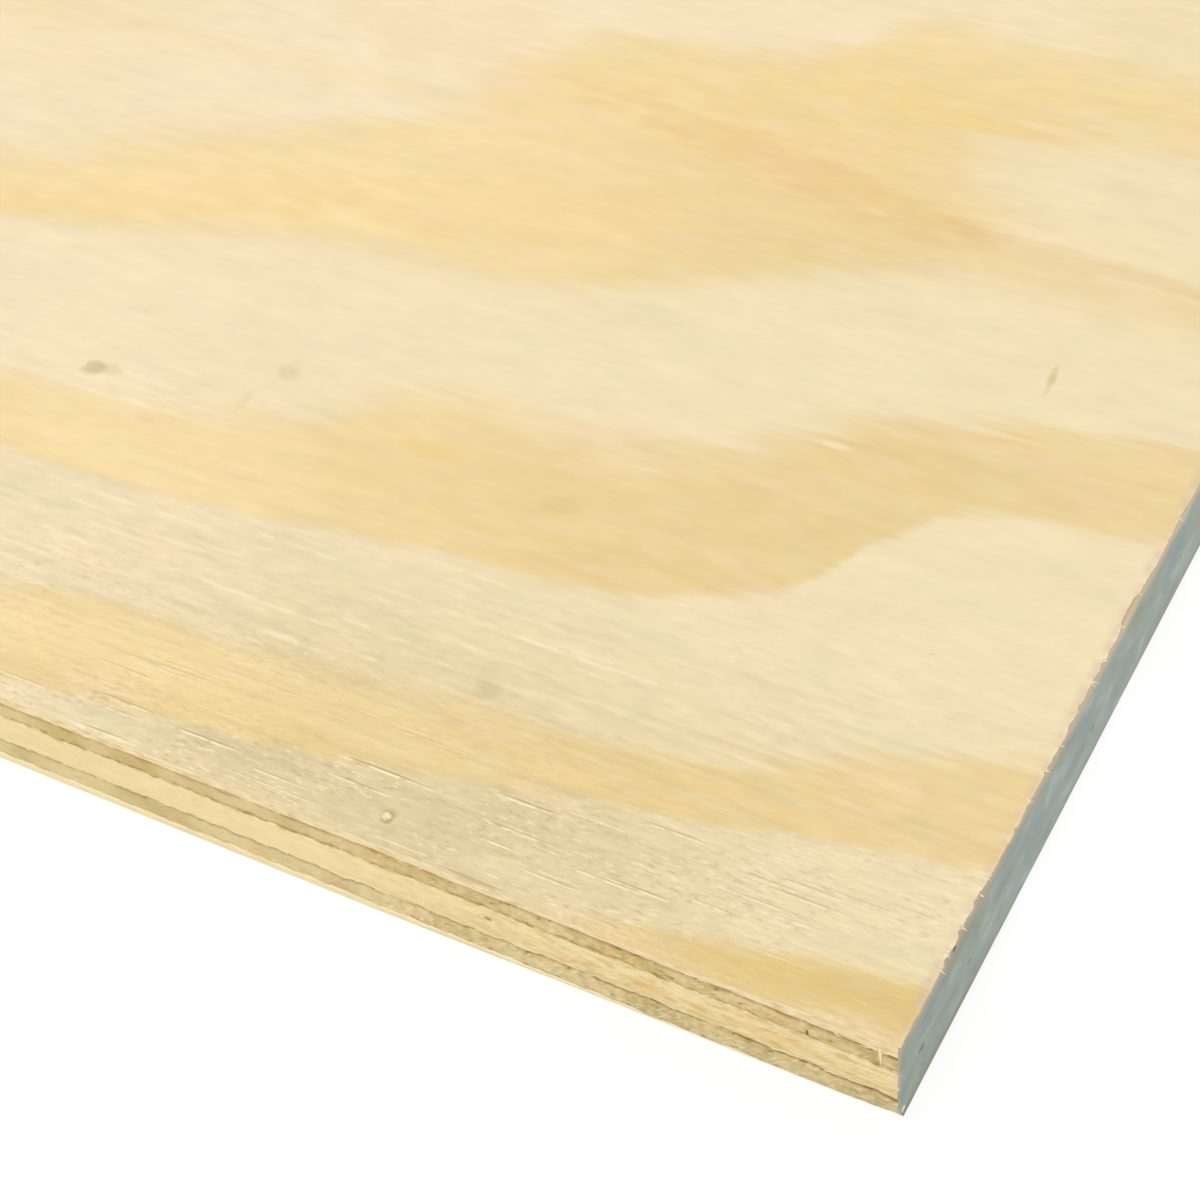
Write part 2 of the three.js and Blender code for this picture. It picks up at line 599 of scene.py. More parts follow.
core_top = glue_line("core_veneer", seed=37, ragged=0.32, dip=0.3)
core = veneer("core_veneer", core_bottom, core_top, sawn_relief=(0.03, 5.0, 0.5))
core_wood = Finish("sawn_core_veneer", "#eed9a4")
core_streaks = long_grain_edge(core_wood, 81)
near_corner = core_wood.u.fall(25, 70)
core_wood.tint("#dfc284", core_wood.z.fall(4.6, 6.6) * (near_corner * 0.4 + 0.12))
stringy = core_wood.edge_grain(2.4, 0.6, detail=3.0, seed=83)
core_wood.tint("#d2a85c", stringy.rise(0.5, 0.66) * (near_corner * 0.5 + 0.04))
core_wood.tint("#f8e8b4", stringy.fall(0.34, 0.48) * (near_corner * 0.5 + 0.06))
# Painted shade: a little darker towards the front right corner, where the light falls off.
core_wood.shade(1.0 - near_corner * 0.05)
resin_stains = [(25.5, 5.7, 2.2, 0.6, 0.5), (20, 5.6, 1.4, 0.45, 0.4), (12, 5.9, 4.0, 0.5, 0.35)]
for u, z, half_length, half_height, amount in resin_stains:
    stain = core_wood.spot(
        core_wood.u, core_wood.z, (u, z), (half_length, half_height), 1.0,
        ragged=(stringy - 0.5) * 6.0)
    core_wood.tint("#e3b45c", stain * amount)
# A small pit, painted as the dark shade inside it.
pit_shade = core_wood.spot(core_wood.u, core_wood.z, (42.5, 6.4), (0.45, 0.22), 0.6)
core_wood.tint("#8c6c3a", pit_shade * 0.8)
saw_marks(core_wood, "#fbecc6", 84, 0.22)
seam_lip_highlight(core_wood, "above_glue", "#f9e9c3", 85)
glue_seam(core_wood, "below_glue", "#a98748", 0.34, 1.5, 0.5, 36, 0.6)
core_wood.raise_up(core_streaks * 0.05)
core.data.materials.append(core_wood.finished(0.78))


# ---- Upper crossband -----------------------------------------------
# The veneer under the face, laid across the sheet. Its end grain is the darkest band of the long
# edges, olive tan, between two dark glue lines.

face_bottom = glue_line("upper_crossband", seed=53, ragged=0.12, dip=0.4)
upper_band = veneer("upper_crossband", core_top, face_bottom, sawn_relief=(0.1, 1.1, 0.7))
upper_wood = Finish("sawn_upper_crossband", "#d4bc84")
end_grain(upper_wood, "#bca15c", "#dcc795", 90)
saw_marks(upper_wood, "#ecdcb0", 93, 0.35)
band_u, band_z = upper_wood.u, upper_wood.z
orange_spot = upper_wood.spot(band_u, band_z, (29, 9.2), (0.5, 0.8), 0.9)
upper_wood.tint("#d8a35c", orange_spot * 0.35)
bark_fleck = upper_wood.spot(band_u, band_z, (9.0, 8.45), (0.15, 0.4), 0.5)
upper_wood.tint("#7d3a1c", bark_fleck * 0.85)
# Lighter overall, with painted shade over its last few millimetres by the corner, where the light
# falls off.
upper_wood.shade(1.03 - band_u.fall(4, 12) * 0.06)
by_corner = band_u.fall(8, 45)
glue_seam(upper_wood, "below_glue", "#8f6f3a", 0.6, 3.5, 0.42, 37, by_corner * 0.3 + 0.5)
glue_seam(upper_wood, "above_glue", "#846632", 0.6, 1.6, 0.46, 38)
# A crack by the corner, painted as the dark shade inside it.
crack_shade = upper_wood.spot(band_u, band_z, (1.0, 10.05), (0.9, 0.2), 0.6)
upper_wood.tint("#6f5230", crack_shade * 0.8)
upper_band.data.materials.append(upper_wood.finished(0.85))


# ---- Face veneer ---------------------------------------------------
# The show side: a clear veneer of pine, peeled, dried, glued on with its grain along the sheet and
# sanded. Pale spring wood lies between yellow summer wood, which starts crisply and fades out.

upper_arris = 0.4
face = veneer("face_veneer", face_bottom, lambda spot: sheet_top, upper_radius=upper_arris)

# The rings that meet the front right corner, from the front. Each has the (u, v) points where its
# yellow wood starts and the points where it fades out. Each line is soft over a distance in mm,
# given first by the end of the sheet and then further in.
corner_rings = [
    ([(-10, -14), (300, -30)], (0.4, 0.4),
     [(-10, 9), (0, 7), (15, 4.1), (31, 0.4), (60, -8), (300, -60)], (1.6, 2.0)),
    ([(-10, 22), (0, 21.3), (17, 17.5), (32, 14), (50, 10.4), (65, 7.2), (82, 4.8), (98, 2.2),
      (140, -4), (300, -24)], (0.8, 1.0),
     [(-10, 37.5), (0, 35.2), (17, 28.4), (25, 23.6), (35, 21.6), (50, 19.8), (65, 17), (82, 16.3),
      (98, 14.6), (115, 9.5), (160, 0), (300, -18)], (2.4, 3.2)),
    ([(-10, 70), (5, 68), (15, 66.5), (21, 64.5), (27, 57.5), (33, 47), (42, 41.8), (50, 39),
      (65, 37), (82, 35), (110, 31.7), (131, 31.5), (200, 24), (300, 14)], (1.8, 1.2),
     [(-10, 82.5), (5, 82), (20, 80.6), (27, 77.8), (33, 75.5), (42, 68), (50, 61.6), (65, 59.6),
      (80, 59), (87, 55.5), (93, 50), (100, 46), (131, 42), (200, 34), (300, 26)], (1.6, 6.0)),
    ([(-10, 102), (20, 102.3), (35, 102.3), (42, 101.3), (50, 98), (65, 90), (82, 82.5), (110, 80),
      (131, 74.5), (160, 68), (200, 60), (300, 46)], (4.0, 4.2),
     [(-10, 111), (20, 113), (38, 118), (45, 130), (94, 130), (102, 119), (110, 111), (120, 102),
      (131, 95.5), (140, 90), (150, 84.5), (163, 78), (300, 50)], (3.0, 8.5)),
    ([(-10, 112), (300, 112)], (3.0, 3.0),
     [(-10, 146), (22, 148.8), (50, 149.4), (64, 149), (71, 140), (80, 135), (90, 133), (100, 131),
      (110, 127), (300, 100)], (3.5, 7.0)),
]


def corner_figure(finish, fibre, drift, streaky):
    """How yellow the face is round the front right corner, from 0 to 1."""
    tuft = finish.grain(7, 2.2, detail=1.0, seed=4)
    free = finish.v.rise(0, 18) * 0.7 + 0.3
    streak = (streaky - 0.5) * (finish.u.rise(12, 45) * 11.0 + 3.0)
    wander = (fibre - 0.5) * 5.0 + (drift - 0.5) * 6.0 + streak
    sharp_v = finish.v + (fibre - 0.5) * 3.6 + (tuft - 0.5) * 1.6
    soft_v = finish.v + wander * free
    inland = finish.u.rise(14, 48)
    yellow = finish.u * 0.0
    for starts, crispness, fades, softness in corner_rings:
        crisp = inland * (crispness[1] - crispness[0]) + crispness[0]
        soft = inland * (softness[1] - softness[0]) + softness[0]
        above = (sharp_v - finish.along_curve(finish.u, starts)).rise(crisp * -1.0, crisp)
        band = (soft_v - finish.along_curve(finish.u, fades)).fall(soft * -1.0, soft)
        yellow = yellow * (1.0 - above) + band * above
    # The last ring lies only over the knot-like swelling, and a pale oval is cut into it.
    swelling = (finish.u + (drift - 0.5) * 12.0).fall(96, 118).larger(finish.v.fall(106, 116))
    oval = finish.spot(finish.u, soft_v, (13, 124.5), (35, 14.5), 0.75)
    thin = finish.spot(finish.u, soft_v, (18, 107), (24, 8), 0.8)
    yellow = yellow * swelling * (1.0 - oval * 0.95) * (1.0 - thin * 0.4)
    return yellow * ((streaky - 0.5) * 1.1 + 1.0)


face_wood = Finish("peeled_face_veneer", "#f1dfb6")
from_end, from_front = face_wood.u, face_wood.v
fibre = face_wood.grain(22, 0.85, detail=1.0, seed=3)
drift = face_wood.grain(26, 7, detail=1.0, seed=6)
streaky = face_wood.grain(55, 3.2, detail=1.0, seed=19)
clouds = face_wood.grain(9, 3, seed=14)
dashes = face_wood.grain(1.3, 0.42, detail=1.0, seed=13)
middle = face_wood.grain(2.8, 0.85, detail=1.0, seed=15)
soft = face_wood.grain(6, 2.0, detail=3.0, seed=18)
away = from_end.rise(150, 230).larger(from_front.rise(165, 235))
yellow = corner_figure(face_wood, fibre, drift, streaky) * (1.0 - away)
yellow = yellow + growth_rings(face_wood, 40) * away

# Painted light: the pale wood is lighter further from the front right corner, as the light falls
# off towards it.
face_wood.tint("#f7e3bf", from_end.rise(40, 140) * 0.7 + from_front.rise(90, 160) * 0.3)
greyed = from_front.fall(3, 45) * (from_end.rise(-5, 50) * 0.56 + 0.04)
greyed = greyed * (1.0 - from_end.rise(70, 100) * from_front.fall(18, 40) * 0.75)
face_wood.tint("#d2be8b", greyed)
face_wood.tint("#e8cc90", yellow)
face_wood.tint("#ddc079", yellow * from_front.fall(5, 12) * 0.6)
# Painted light: the summer wood is lighter further in from the end, as the light falls off towards
# the corner.
face_wood.tint("#fbe1a8", yellow * from_end.rise(30, 125) * 0.8)
face_wood.tint("#f4d792", yellow * from_front.rise(95, 145) * 0.6)
face_wood.tint("#f4deaa", yellow * from_front.rise(134, 150) * 0.5)
face_wood.tint("#f0daa6", yellow * from_end.fall(8, 28) * from_front.rise(15, 25) * 0.35)
face_wood.tint("#f6dcba", clouds.rise(0.5, 0.7) * (0.3 - greyed * 0.25))
face_wood.tint("#e6dcae", clouds.fall(0.3, 0.46) * 0.25)
face_wood.tint("#dda35a", fibre.rise(0.62, 0.8) * yellow * from_front.fall(30, 90) * 0.12)

# The saw and the sander have roughed it up by its front edge, least of all at the very corner.
calm = from_end.fall(5, 32) * from_front.fall(6, 20)
worn = from_front.fall(12, 62)
combed = 1.0 - calm * 0.6
strokes = (middle - 0.5) * combed * (worn * 0.2 + 0.03) * (1.0 - yellow * 0.45)
strokes = strokes + (fibre - 0.5) * combed * (worn * 0.18 + 0.03)
face_wood.shade(strokes + (soft - 0.5) * 0.15 + (drift - 0.5) * 0.08 + 1.0)
smooth = yellow * (from_end.fall(20, 45) * 0.3 + 0.55)
torn = (from_front.fall(4, 28) * 0.8 + from_front.fall(40, 70) * 0.2) * (1.0 - smooth)
torn = torn * (clouds.rise(0.35, 0.6) * 0.7 + 0.3) * (1.0 - calm * 0.4)
# Bright and dark dashes where fibres are torn: painted highlight and painted shade of their relief.
face_wood.tint("#fff0cc", dashes.rise(0.58, 0.72) * torn * 0.6)
face_wood.tint("#aa9860", dashes.fall(0.29, 0.43) * torn * 0.36)

# Fine checks in the wood: long dark hair lines, painted shade inside each check, with a painted
# highlight on its broken near lip. Further in, a few standing fibres get painted highlights.
check_lip_place = face_wood.joined(from_end, from_front + 0.24, face_wood.z)
check_shade = face_wood.grain(15, 0.3, detail=0.0, seed=16)
check_lip_highlights = face_wood.grain(15, 0.3, detail=0.0, seed=16, place=check_lip_place)
checked = from_front.fall(7, 20) * combed * (1.0 - smooth) * drift.rise(0.36, 0.5)
face_wood.tint("#fff0cc", check_lip_highlights.fall(0.26, 0.34) * dashes.rise(0.36, 0.54) * checked)
face_wood.tint("#978250", check_shade.fall(0.22, 0.29) * checked * 0.6)
lifted_fibre_highlights = from_front.rise(12, 22) * from_front.fall(38, 60) * from_end.rise(25, 55)
lifted_fibre_highlights = lifted_fibre_highlights * drift.rise(0.42, 0.56) * middle.rise(0.4, 0.56) * (1.0 - yellow * 0.8)
face_wood.tint("#fff0cc", fibre.rise(0.6, 0.72) * lifted_fibre_highlights * 0.45)
face_wood.raise_up(dashes * (from_front.fall(7, 38) * 0.05 + 0.01))

# Marks on the face: where they are, their half sizes along and across the grain, the lean of
# their long axis, their colour and how much of it shows. The last two are a painted shadow
# round the resin bead.
face_marks_and_bead_shadow = [
    (124.3, 46.8, 1.4, 1.3, 0.0, "#a59c5e", 0.45),
    (122.6, 47.4, 1.6, 1.0, 0.0, "#c9bd88", 0.3),
    (102, 56, 1.3, 1.5, 0.0, "#c9bc8a", 0.3),
    (104, 49, 0.8, 1.6, 0.0, "#cdbf8c", 0.3),
    (113, 42, 1.6, 0.9, 0.0, "#d2bd83", 0.25),
    (54.6, 21.4, 1.5, 1.0, 0.0, "#bba66c", 0.28),
    (55.6, 23.2, 1.0, 1.8, 0.0, "#cdb98a", 0.2),
    (20.4, 88.4, 0.45, 2.2, 0.1, "#c2ad60", 0.5),
    (61, 48.3, 2.0, 1.2, 0.0, "#cfb36c", 0.25),
    (79, 50.5, 5.0, 1.8, 0.0, "#efd081", 0.4),
    (65, 56.5, 2.0, 1.0, 0.0, "#dcbb80", 0.25),
    (38, 69, 1.6, 0.5, 0.0, "#fff0c4", 0.4),
    (122, 128, 17, 9, 0.0, "#f3d8ac", 0.4),
    (30, 160, 15, 9, 0.0, "#ecd39c", 0.35),
    (97, 93, 24, 6, -0.3, "#f5d08a", 0.3),
    (135, 80, 24, 5, -0.45, "#f8d28e", 0.35),
    (68, 116, 30, 10, 0.1, "#efcb88", 0.15),
    (68, 46, 20, 9, 0.0, "#e9ca86", 0.2),
    (67, 115.5, 28, 3.4, 0.19, "#e8b572", 0.22),
    (24, 110.4, 20, 1.4, 0.05, "#e5bb80", 0.25),
    (54.75, 3.3, 0.8, 0.6, 0.0, "#968950", 0.7),
    (54.75, 2.6, 0.6, 0.4, 0.0, "#a49560", 0.6),
]
for u, v, half_length, half_width, lean, colour, amount in face_marks_and_bead_shadow:
    upright = half_width > half_length
    along = from_end - (from_front - v) * lean if upright else from_end
    across = from_front if upright else from_front - (from_end - u) * lean
    mark = face_wood.spot(
        along, across, (u, v), (half_length, half_width), 1.0, ragged=(soft - 0.5) * 4.0)
    face_wood.tint(colour, mark * amount)

# The saw has bared pinker wood below the arris, and by the corner a little of the face too.
rubbed = from_front.fall(0.3, 2.2) * from_end.fall(3, 12) * (soft.rise(0.35, 0.6) * 0.5 + 0.4)
kept_yellow = from_end.rise(9, 17) * from_end.fall(32, 46)
sawn = (face_wood.z + kept_yellow * 0.5).fall(11.3, 11.6).larger(rubbed)
face_wood.tint("#ead4a4", sawn)
face_wood.tint("#ecd7a6", sawn * from_end.rise(30, 60))
round_arris = face_wood.joined(from_end, face_wood.z - from_front, 0.0)
edge_streaks = face_wood.grain(1.8, 0.5, 1.8, detail=3.0, seed=17, place=round_arris)
face_wood.tint("#cda96c", edge_streaks.rise(0.5, 0.64) * sawn * 0.5)
face_wood.tint("#fbeecd", edge_streaks.fall(0.34, 0.48) * sawn * 0.5)
# Painted shade on the rounded upper arris, toning down its highlight.
arris = face_wood.z.rise(11.55, 11.7) * from_front.fall(0.3, 0.5)
face_wood.shade(1.0 - arris * 0.08)
seam_lip_highlight(face_wood, "above_glue", "#f9eac8", 18)
smudge = from_end.fall(0.2, 1.6) * from_front.rise(0.5, 3.0) * soft.rise(0.35, 0.6)
face_wood.tint("#cbb6a0", smudge * 0.5)
face.data.materials.append(face_wood.finished(0.6))


# ---- Painted ends --------------------------------------------------
# Both sawn ends are sealed with a film of grey-green paint, brushed on along the end. It soaks
# in, laps ragged over the arrises and turns the corners by half a millimetre.

lap = 1.1
leg = 1.5
leg_steps = 9
stands_out = 0.07
soaks_in = 0.16
feathered = 0.12
brush_relief = 0.012


def film_rows():
    """The rows of the film's section, from a lap under the sheet, up the end, to a lap on its
    face: each one's inset, its height and its way out, towards the end and upwards. They lie
    closest where the paint's ragged border runs."""
    rows = [(inset, 0.0, 0.0, -1.0) for inset in np.arange(lap, lower_arris, -0.2)]
    for turn in np.linspace(0, math.pi / 2, 4):
        inset = lower_arris * (1 - math.sin(turn))
        z = lower_arris * (1 - math.cos(turn))
        rows.append((inset, z, math.sin(turn), -math.cos(turn)))
    rows += [(0.0, z, 1.0, 0.0) for z in np.arange(0.8, sheet_top - 1.2, 0.55)]
    rows += [(0.0, z, 1.0, 0.0) for z in np.arange(sheet_top - 1.1, sheet_top - 0.45, 0.12)]
    for turn in np.linspace(0, math.pi / 2, 6):
        inset = upper_arris * (1 - math.cos(turn))
        z = sheet_top - upper_arris * (1 - math.sin(turn))
        rows.append((inset, z, math.cos(turn), math.sin(turn)))
    rows += [(inset, sheet_top, 0.0, 1.0) for inset in np.arange(0.5, lap + 0.05, 0.12)]
    return rows


def film_stations(marks, inset):
    """Points (inset from the end, distance from the front edge) along one row, with a short leg
    round each corner, and their way out: towards the end and towards the back."""
    legs = [leg + (inset - leg) * step / leg_steps for step in range(leg_steps)]
    stations = [(u, inset, 0.0, -1.0) for u in legs]
    for mark in marks:
        way = -1.0 if mark == 0 else 1.0 if mark == 1 else 0.0
        stations.append((inset, inset + (sheet_width - 2 * inset) * mark, 1.0, way))
    return stations + [(u, sheet_width - inset, 0.0, 1.0) for u in reversed(legs)]


def inside_border(u, v, z, inset, seed):
    """How far inside the paint's ragged border a point lies, in millimetres."""
    def ragged(size, extra):
        return ripple(Vector((v, z * 0.3)), size, seed + extra)

    # On the face the border has slow waves, fine ones that are roughest by the corner, and runs.
    rough = 0.35 + 0.65 * math.exp(-v / 45)
    reach = 0.42 + 0.25 * ragged(7, 1) + 0.35 * ragged(1.9, 2) * rough
    reach += (0.25 * ragged(0.6, 3) + 1.2 * max(ragged(1.3, 12) - 0.2, 0.0)) * rough
    reach += 2.2 * max(ragged(9, 9) - 0.25, 0.0)
    over_top = (z - (sheet_top - upper_arris)) + inset
    low_reach = 0.8 + 0.4 * ragged(6, 4) + 0.3 * ragged(1.5, 5)
    under = inset - z
    inside = min(reach - over_top, low_reach - under)
    # Past a corner it turns onto the edge by a little.
    past_corner = u - inset
    if past_corner > 0 or v <= inset or v >= sheet_width - inset:
        here = Vector((z, v))
        turned = 0.3 + 0.16 * ripple(here, 1.6, seed + 6) + 0.14 * ripple(here, 0.5, seed + 7)
        inside = min(inside, turned - past_corner)
    return inside


def shares_along(line):
    """How far along a line of points each point lies, from 0 to 1."""
    steps = [math.dist(a, b) for a, b in zip(line, line[1:])]
    walked = np.concatenate(([0.0], np.cumsum(steps)))
    return walked / walked[-1]


def painted_end(name, end_x, inward, marks, seed):
    """The paint film as a closed mesh, whose hidden side is a plain tray inside the wood. inward
    is the way into the sheet from that end. The mesh keeps how far its points are inside the
    paint's border."""
    shown_rows = film_rows()
    points = []
    depths = []
    for inset, z, to_end, up in shown_rows:
        for u, v, plan_end, plan_side in film_stations(marks, inset):
            inside = inside_border(u, v, z, inset, seed)
            share = min(max((inside + feathered) / (2 * feathered), 0.0), 1.0)
            height = -soaks_in + (stands_out + soaks_in) * share
            height += brush_relief * ripple(Vector((v, z * 8)), 5, seed + 8) * share
            out_end = max(to_end, 0.0) * plan_end
            out_side = max(to_end, 0.0) * plan_side
            points.append((u - out_end * height, v + out_side * height, z + up * height))
            depths.append(inside)
    across = len(points) // len(shown_rows)
    deep = 0.3
    high = sheet_top - deep
    tray = [(lap, deep), (deep, deep), (deep, sheet_top / 2), (deep, high), (lap, high)]
    points += [(u, v, z) for inset, z in tray for u, v, *way in film_stations(marks, inset)]
    rows = [list(range(first, first + across)) for first in range(0, len(points), across)]
    shown, hidden = rows[:len(shown_rows)], rows[len(shown_rows):]
    faces = skin(shown) + skin(hidden, turned=True)
    for end in (0, -1):
        faces += skin([shown[end], hidden[end]], turned=True)
        outer = [row[end] for row in shown]
        inner = [row[end] for row in hidden]
        outer_shares = shares_along([points[i] for i in outer])
        inner_shares = shares_along([points[i] for i in inner])
        zip_sides(faces, [outer], [outer_shares], [inner], [inner_shares])
    placed = []
    for u, v, z in points:
        x = end_x + inward * u
        y = front_edge + v
        placed.append((x, y + worn_back(x, y, z), z))
    piece = made_piece(name, placed, faces, turn_out=True)
    keep_distances(piece, "inside_border", depths)
    return piece


end_paint = Finish("grey_green_end_paint", "#929d90")
from_front, height = end_paint.v, end_paint.z
brushed = end_paint.joined(from_front, height, end_paint.u)
streaks = end_paint.grain(6, 1.0, 4, seed=101, place=brushed)
blots = end_paint.grain(9, 5.0, 4, detail=3.0, seed=102, place=brushed)
pale = end_paint.grain(5, 3.2, 4, detail=3.0, seed=103, place=brushed)
end_paint.tint("#84928e", blots.rise(0.48, 0.64) * 0.8)
end_paint.tint("#8a8e76", blots.fall(0.36, 0.5) * 0.6)
end_paint.tint("#a9b4a8", pale.rise(0.52, 0.68) * 0.6)
end_paint.tint("#78837b", pale.fall(0.32, 0.46) * 0.5)
# Brush streaks, and painted shade towards the front corner, where the light falls off.
end_paint.shade((streaks - 0.5) * 0.1 + 1.0 - from_front.fall(6, 20) * 0.07)

# It is thin over the upper arris, where the wood shows through, dirty by the lower one near the
# front, and darker along its lowest millimetre.
end_paint.tint("#a0977c", height.rise(9.8, 11.6) * (streaks.rise(0.3, 0.6) * 0.4 + 0.35))
end_paint.tint("#dcc394", height.rise(10.5, 12.0) * from_front.rise(12, 60) * (pale * 0.5 + 0.4))
dirty = height.fall(0.9, 2.2) * from_front.fall(14, 28)
end_paint.tint("#7c7a52", dirty * pale.rise(0.3, 0.55) * 0.8)
end_paint.tint("#6c6e62", height.fall(0.2, 1.0) * 0.6)
thinned = end_paint.stored("inside_border").fall(0.0, 0.8)
end_paint.tint("#bda490", thinned * (pale.rise(0.35, 0.55) * 0.5 + 0.45))

# Spots on the right end: where they are along and up it, their half sizes, their colour and how
# much of it shows. The last is painted shade under the knocked-round lower corner.
paint_spots_and_shade = [
    (4.2, 5.8, 0.3, 0.3, "#535a52", 0.8),
    (4.75, 5.75, 0.35, 0.4, "#4c534b", 0.9),
    (5.2, 9.6, 0.3, 0.25, "#6c746c", 0.7),
    (9.4, 9.5, 0.9, 0.5, "#7c8587", 0.6),
    (11.8, 11.6, 0.35, 0.35, "#4e4c42", 0.8),
    (15.7, 5.1, 0.35, 0.35, "#6b756b", 0.8),
    (47.7, 4.75, 0.5, 0.35, "#656f67", 0.8),
    (0.55, 1.6, 0.35, 0.35, "#e8e4d6", 1.0),
    (1.4, 0.3, 1.5, 0.6, "#66664a", 0.9),
]
for v, z, half_length, half_height, colour, amount in paint_spots_and_shade:
    spot = end_paint.spot(from_front, height, (v, z), (half_length, half_height), 0.7)
    end_paint.tint(colour, spot * end_paint.u.fall(4, 6) * amount)
end_paint.raise_up(streaks * 0.02)
end_film = end_paint.finished(0.55)

fine_marks = marks_along(sheet_width, 0.2, fine_run, 6.0, 1.05)
plain_marks = marks_along(sheet_width, 2.0, 0.0, 8.0, 1.05)
for name, end_x, inward, marks, seed in (
    ("end_sealer_right", right_end, -1, fine_marks, 5),
    ("end_sealer_left", left_end, 1, plain_marks, 45),
):
    end_sealer = painted_end(name, end_x, inward, marks, seed)
    end_sealer.data.materials.append(end_film)


# ---- Torn fibres ---------------------------------------------------
# Slivers of pine that the saw left: pale tufts over the painted arris, single hairs on the face
# and along the seams, and one long splinter that hangs over the front edge by the corner.

chance = random.Random(20)
fibre_points = []
fibre_faces = []


def drawn_out(start, rings, end, turned=False):
    """The faces of a tube of rings that comes to a point at both ends."""
    caps = [(start, b, a) for a, b in zip(rings[0], rings[0][1:])]
    caps += [(a, b, end) for a, b in zip(rings[-1], rings[-1][1:])]
    if turned:
        caps = [cap[::-1] for cap in caps]
    return caps + skin(rings, turned)


def sliver(root, way, away_from, length, width, curl):
    """One fibre with pointed ends. It leaves its root along a way and curls off the surface."""
    way = way.normalized()
    side = way.cross(away_from).normalized()
    first = len(fibre_points)
    fibre_points.append(root - away_from * width * 0.2)
    girths = (0.8, 1.0, 0.75, 0.4)
    for step, girth in enumerate(girths, 1):
        share = step / (len(girths) + 1)
        centre = root + way * length * share + away_from * curl * share * share
        wide = side * (width * girth / 2)
        deep = away_from * (width * girth * 0.3)
        fibre_points.extend((centre + wide, centre + deep, centre - wide, centre - deep))
    fibre_points.append(root + way * length + away_from * curl)
    last = len(fibre_points) - 1
    fibre_faces.extend(drawn_out(first, rings_from(first + 1, 4, len(girths)), last))


def on_face(u, v):
    """A place on the sheet's face."""
    return Vector((right_end - u, front_edge + v, sheet_top))


up = Vector((0, 0, 1))
to_front = Vector((0, -1, 0))
along_end = 9.0
while along_end < sheet_width - 1:
    for strand in range(chance.randint(1, 3)):
        u = chance.uniform(0.15, 0.8)
        v = along_end + chance.uniform(-0.35, 0.35)
        root = on_face(u, max(v, 0.1))
        way = Vector((1, chance.uniform(-0.4, 0.4), 0))
        width = chance.uniform(0.12, 0.38)
        length = u + 0.6 * chance.random() ** 2
        sliver(root, way, up, length, width, chance.uniform(-0.25, 0.12))
    near = math.exp(-along_end / 120)
    along_end += chance.uniform(0.6, 3.0) * near + chance.uniform(5, 14) * (1 - near)

for hair in range(70):
    u = chance.uniform(1, 120)
    v = 1 + 45 * chance.random() ** 1.6
    root = on_face(u, v)
    way = Vector((chance.choice((-1, 1)), chance.uniform(-0.08, 0.08), 0))
    sliver(root, way, up, chance.uniform(0.8, 2.4), chance.uniform(0.06, 0.14), 0.04)

for seam, share_of_hairs in ((face_bottom, 30), (core_bottom, 22), (core_top, 16)):
    for hair in range(share_of_hairs):
        u = 0.8 + 110 * chance.random() ** 1.4
        spot = Vector((right_end - u, front_edge))
        z = seam(spot) + chance.uniform(0.05, 0.3)
        root = Vector((spot.x, spot.y, z))
        way = Vector((chance.choice((-1, 1)), 0, chance.uniform(-0.35, 0.15)))
        length = chance.uniform(0.4, 1.8)
        sliver(root, way, to_front, length, chance.uniform(0.08, 0.2), chance.uniform(0.02, 0.12))

splinter_root = Vector((right_end - 2.1, front_edge, 10.8))
sliver(splinter_root, Vector((0.1, 0, -1)), to_front, 3.1, 0.4, 0.14)

torn_fibres = made_piece("torn_fibres", fibre_points, fibre_faces, turn_out=True)
fibre_wood = Finish("torn_pale_fibre", "#efe0b8")
fibre_tone = fibre_wood.grain(1.5, 0.8, 0.8, detail=1.0, seed=120)
fibre_wood.tint("#e3cfa2", fibre_tone.rise(0.45, 0.65) * 0.7)
fibre_wood.raise_up(fibre_tone * 0.02)
torn_fibres.data.materials.append(fibre_wood.finished(0.65))


# ---- Resin bead ----------------------------------------------------
# A drop of resin that has set on the face near its front edge: a clear, glossy, domed bead.
# Its colour holds a painted highlight, painted shade and painted glints.

bead_u, bead_v = 55.0, 3.0
bead_centre = on_face(bead_u, bead_v)
bead_profile = [(0.16, 0.25), (0.3, 0.215), (0.42, 0.15), (0.5, 0.07), (0.55, -0.02), (0.5, -0.08)]
turns = 28
bead_points = [bead_centre + up * 0.26]
for radius, height in bead_profile:
    for turn in range(turns):
        angle = 2 * math.pi * turn / turns
        swell = 1 + 0.06 * math.cos(angle - 0.7) + 0.03 * math.cos(3 * angle)
        rim = Vector((math.cos(angle), math.sin(angle), 0)) * (radius * swell)
        bead_points.append(bead_centre + rim + up * height)
bead_points.append(bead_centre - up * 0.08)
rings = rings_from(1, turns, len(bead_profile))
bead_faces = drawn_out(0, rings, len(bead_points) - 1, turned=True)
resin_bead = made_piece("resin_bead", bead_points, bead_faces)
resin = Finish("set_resin", "#ecdcb4")
bead_glints = resin.grain(0.5, 0.4, 0.4, detail=1.0, seed=131)
off_u, off_v = bead_u - resin.u, resin.v - bead_v
# Painted light on the bead: a highlight at its back, a glow of its amber towards the end, shade at
# its front and glints.
resin.tint("#fff3d2", (off_v * 0.8 - off_u * 0.4).rise(-0.1, 0.4) * 0.8)
resin.tint("#efe39c", (off_u + off_v * 0.2).rise(0.15, 0.45) * 0.8)
resin.tint("#a4935c", (off_u * 0.3 - off_v).rise(0.2, 0.5) * 0.7)
resin.tint("#fff7e0", bead_glints.rise(0.45, 0.7) * 0.4)
resin_bead.data.materials.append(resin.finished(0.12))


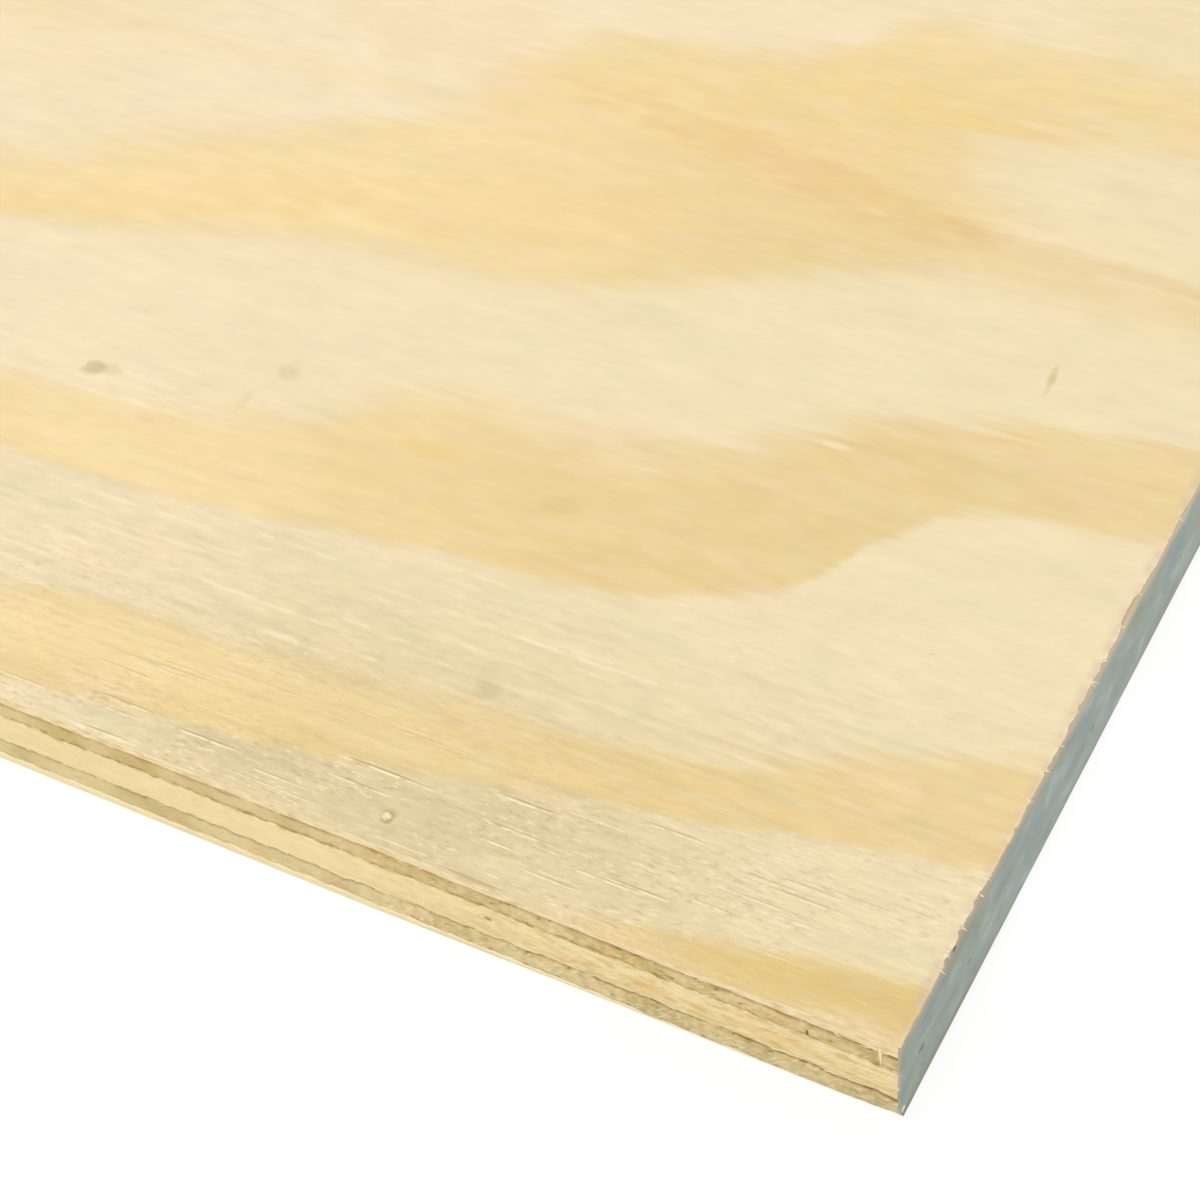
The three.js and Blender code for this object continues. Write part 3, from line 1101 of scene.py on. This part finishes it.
# ---- Studio --------------------------------------------------------
# A wide white floor and soft light: a broad key from the front right, above, and an even pale
# sky all round. The floor keeps the sheet's shadow.

def studio_white(tree, lit, white):
    """Shows a surface as white to the camera and in reflections, and as lit to other light."""
    paths = add_node(tree, "LightPath").outputs
    seen = paths["Is Camera Ray"]
    for path in ("Is Glossy Ray", "Is Transmission Ray"):
        seen = add_node(tree, "Math", {0: seen, 1: paths[path]}, operation="MAXIMUM").outputs[0]
    return add_node(tree, "MixShader", {0: seen, 1: lit, 2: white}).outputs[0]


def bare_tree(data):
    """The empty node tree of a material or world."""
    data.use_nodes = True
    data.node_tree.nodes.clear()
    return data.node_tree


far = 60.0
floor_mesh = bpy.data.meshes.new("floor")
floor_mesh.from_pydata(
    [(-far, -far, 0), (far, -far, 0), (far, far, 0), (-far, far, 0)], [], [(0, 1, 2, 3)])
floor = put("floor", floor_mesh)
hair_gap = 0.0002
floor.location.z = cad_low.z - hair_gap
floor_paint = bpy.data.materials.new("white_floor")
floor_mesh.materials.append(floor_paint)
tree = bare_tree(floor_paint)
plain = add_node(tree, "BsdfDiffuse", {"Color": (0.8, 0.8, 0.8, 1)})
shown = add_node(tree, "BsdfDiffuse", {"Color": (0.6, 0.6, 0.6, 1)})
glow = add_node(tree, "Emission", {"Strength": 0.42})
both = add_node(tree, "AddShader", {0: shown.outputs[0], 1: glow.outputs[0]})
surface = studio_white(tree, plain.outputs[0], both.outputs[0])
add_node(tree, "OutputMaterial", {"Surface": surface})

world = bpy.data.worlds.new("studio")
bpy.context.scene.world = world
tree = bare_tree(world)
sky = add_node(tree, "Background", {"Strength": 0.5})
white = add_node(tree, "Background", {"Color": (1, 1, 1, 1), "Strength": 1.0})
surface = studio_white(tree, sky.outputs[0], white.outputs[0])
add_node(tree, "OutputWorld", {"Surface": surface})

key = put("key", bpy.data.lights.new("key", "SUN"))
key.data.energy = 2.42
key.data.angle = math.radians(30)
key.rotation_euler = Vector((0.37, -0.52, 0.82)).to_track_quat("Z", "Y").to_euler()
key.visible_glossy = False

bpy.context.scene.view_settings.view_transform = "Standard"
